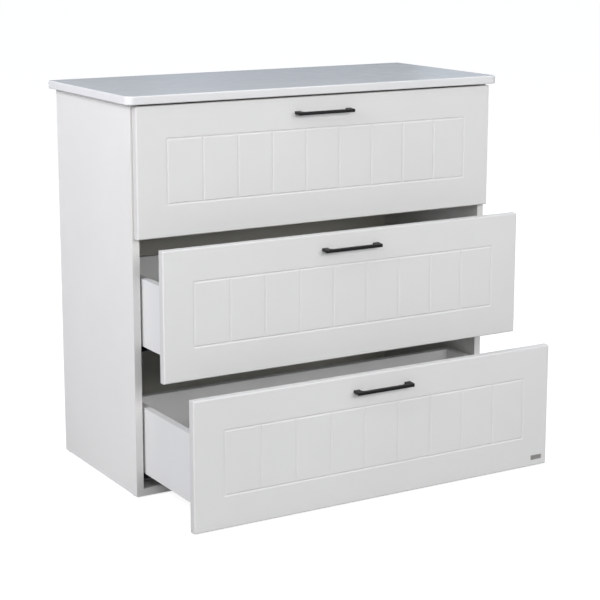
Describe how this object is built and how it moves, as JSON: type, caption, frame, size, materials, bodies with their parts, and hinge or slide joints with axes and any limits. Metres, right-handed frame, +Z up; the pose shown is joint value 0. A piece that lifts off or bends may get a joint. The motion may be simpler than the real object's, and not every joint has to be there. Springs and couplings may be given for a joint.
{
  "type": "chest of drawers",
  "caption": "White chest of stacked full-width drawers with routed plank-pattern fronts, black bar handles, an overhanging rounded-corner top and full-extension undermount runners.",
  "frame": {"origin": "on the floor at the centre of the carcass footprint, on the underside of the middle floor glide", "axes": "+X to the right seen from the front, along the width; -Y out of the front, the way the drawers open; +Z up"},
  "size_m": [0.934, 0.67, 0.861],
  "materials": {
    "top_laminate": "gloss",
    "white_board": "satin",
    "front_foil": "satin",
    "box_board": "satin",
    "box_hardboard": "satin",
    "hardboard": "matte",
    "beech": "matte",
    "galvanised_steel": "satin",
    "zinc_fasteners": "satin",
    "cam_zinc": "satin",
    "handle_black": "matte",
    "clip_plastic": "matte",
    "glide_plastic": "satin",
    "label_metal": "satin"
  },
  "bodies": {
    "carcass": {"top_panel": "top_laminate", "left_side_panel": "white_board", "right_side_panel": "white_board", "bottom_panel": "white_board", "back_panel": "hardboard", "back_panel_nails": "zinc_fasteners", "floor_glides": "glide_plastic", "cam_locks": "cam_zinc", "cam_bolts": "zinc_fasteners", "dowels": "beech", "rail_screws": "zinc_fasteners", "lower_left_cabinet_rail": "galvanised_steel", "lower_right_cabinet_rail": "galvanised_steel", "middle_left_cabinet_rail": "galvanised_steel", "middle_right_cabinet_rail": "galvanised_steel", "upper_left_cabinet_rail": "galvanised_steel", "upper_right_cabinet_rail": "galvanised_steel"},
    "lower_runner_members": {"lower_left_middle_rail": "galvanised_steel", "lower_right_middle_rail": "galvanised_steel"},
    "middle_runner_members": {"middle_left_middle_rail": "galvanised_steel", "middle_right_middle_rail": "galvanised_steel"},
    "upper_runner_members": {"upper_left_middle_rail": "galvanised_steel", "upper_right_middle_rail": "galvanised_steel"},
    "lower_drawer": {"lower_front": "front_foil", "lower_left_box_side": "box_board", "lower_right_box_side": "box_board", "lower_box_back": "box_board", "lower_box_bottom": "box_hardboard", "lower_box_screws": "zinc_fasteners", "lower_front_fittings": "cam_zinc", "lower_handle": "handle_black", "lower_handle_screws": "zinc_fasteners", "lower_left_drawer_rail": "galvanised_steel", "lower_right_drawer_rail": "galvanised_steel", "lower_rail_clips": "clip_plastic", "label_plate": "label_metal"},
    "middle_drawer": {"middle_front": "front_foil", "middle_left_box_side": "box_board", "middle_right_box_side": "box_board", "middle_box_back": "box_board", "middle_box_bottom": "box_hardboard", "middle_box_screws": "zinc_fasteners", "middle_front_fittings": "cam_zinc", "middle_handle": "handle_black", "middle_handle_screws": "zinc_fasteners", "middle_left_drawer_rail": "galvanised_steel", "middle_right_drawer_rail": "galvanised_steel", "middle_rail_clips": "clip_plastic"},
    "upper_drawer": {"upper_front": "front_foil", "upper_left_box_side": "box_board", "upper_right_box_side": "box_board", "upper_box_back": "box_board", "upper_box_bottom": "box_hardboard", "upper_box_screws": "zinc_fasteners", "upper_front_fittings": "cam_zinc", "upper_handle": "handle_black", "upper_handle_screws": "zinc_fasteners", "upper_left_drawer_rail": "galvanised_steel", "upper_right_drawer_rail": "galvanised_steel", "upper_rail_clips": "clip_plastic"}
  },
  "joints": [
    {"name": "lower_drawer_slide", "type": "slide", "parent": "carcass", "child": "lower_drawer", "axis": [0, -1, 0], "range_m": [-0.242, 0.088]},
    {"name": "middle_drawer_slide", "type": "slide", "parent": "carcass", "child": "middle_drawer", "axis": [0, -1, 0], "range_m": [-0.114, 0.216]},
    {"name": "upper_drawer_slide", "type": "slide", "parent": "carcass", "child": "upper_drawer", "axis": [0, -1, 0], "range_m": [0, 0.33]},
    {"name": "lower_runner_slide", "type": "slide", "parent": "carcass", "child": "lower_runner_members", "axis": [0, -1, 0], "range_m": [-0.121, 0.044]},
    {"name": "middle_runner_slide", "type": "slide", "parent": "carcass", "child": "middle_runner_members", "axis": [0, -1, 0], "range_m": [-0.057, 0.108]},
    {"name": "upper_runner_slide", "type": "slide", "parent": "carcass", "child": "upper_runner_members", "axis": [0, -1, 0], "range_m": [0, 0.165]}
  ],
  "couplings": [
    {"joint": "lower_runner_slide", "follows": "lower_drawer_slide", "ratio": 0.5},
    {"joint": "middle_runner_slide", "follows": "middle_drawer_slide", "ratio": 0.5},
    {"joint": "upper_runner_slide", "follows": "upper_drawer_slide", "ratio": 0.5}
  ]
}
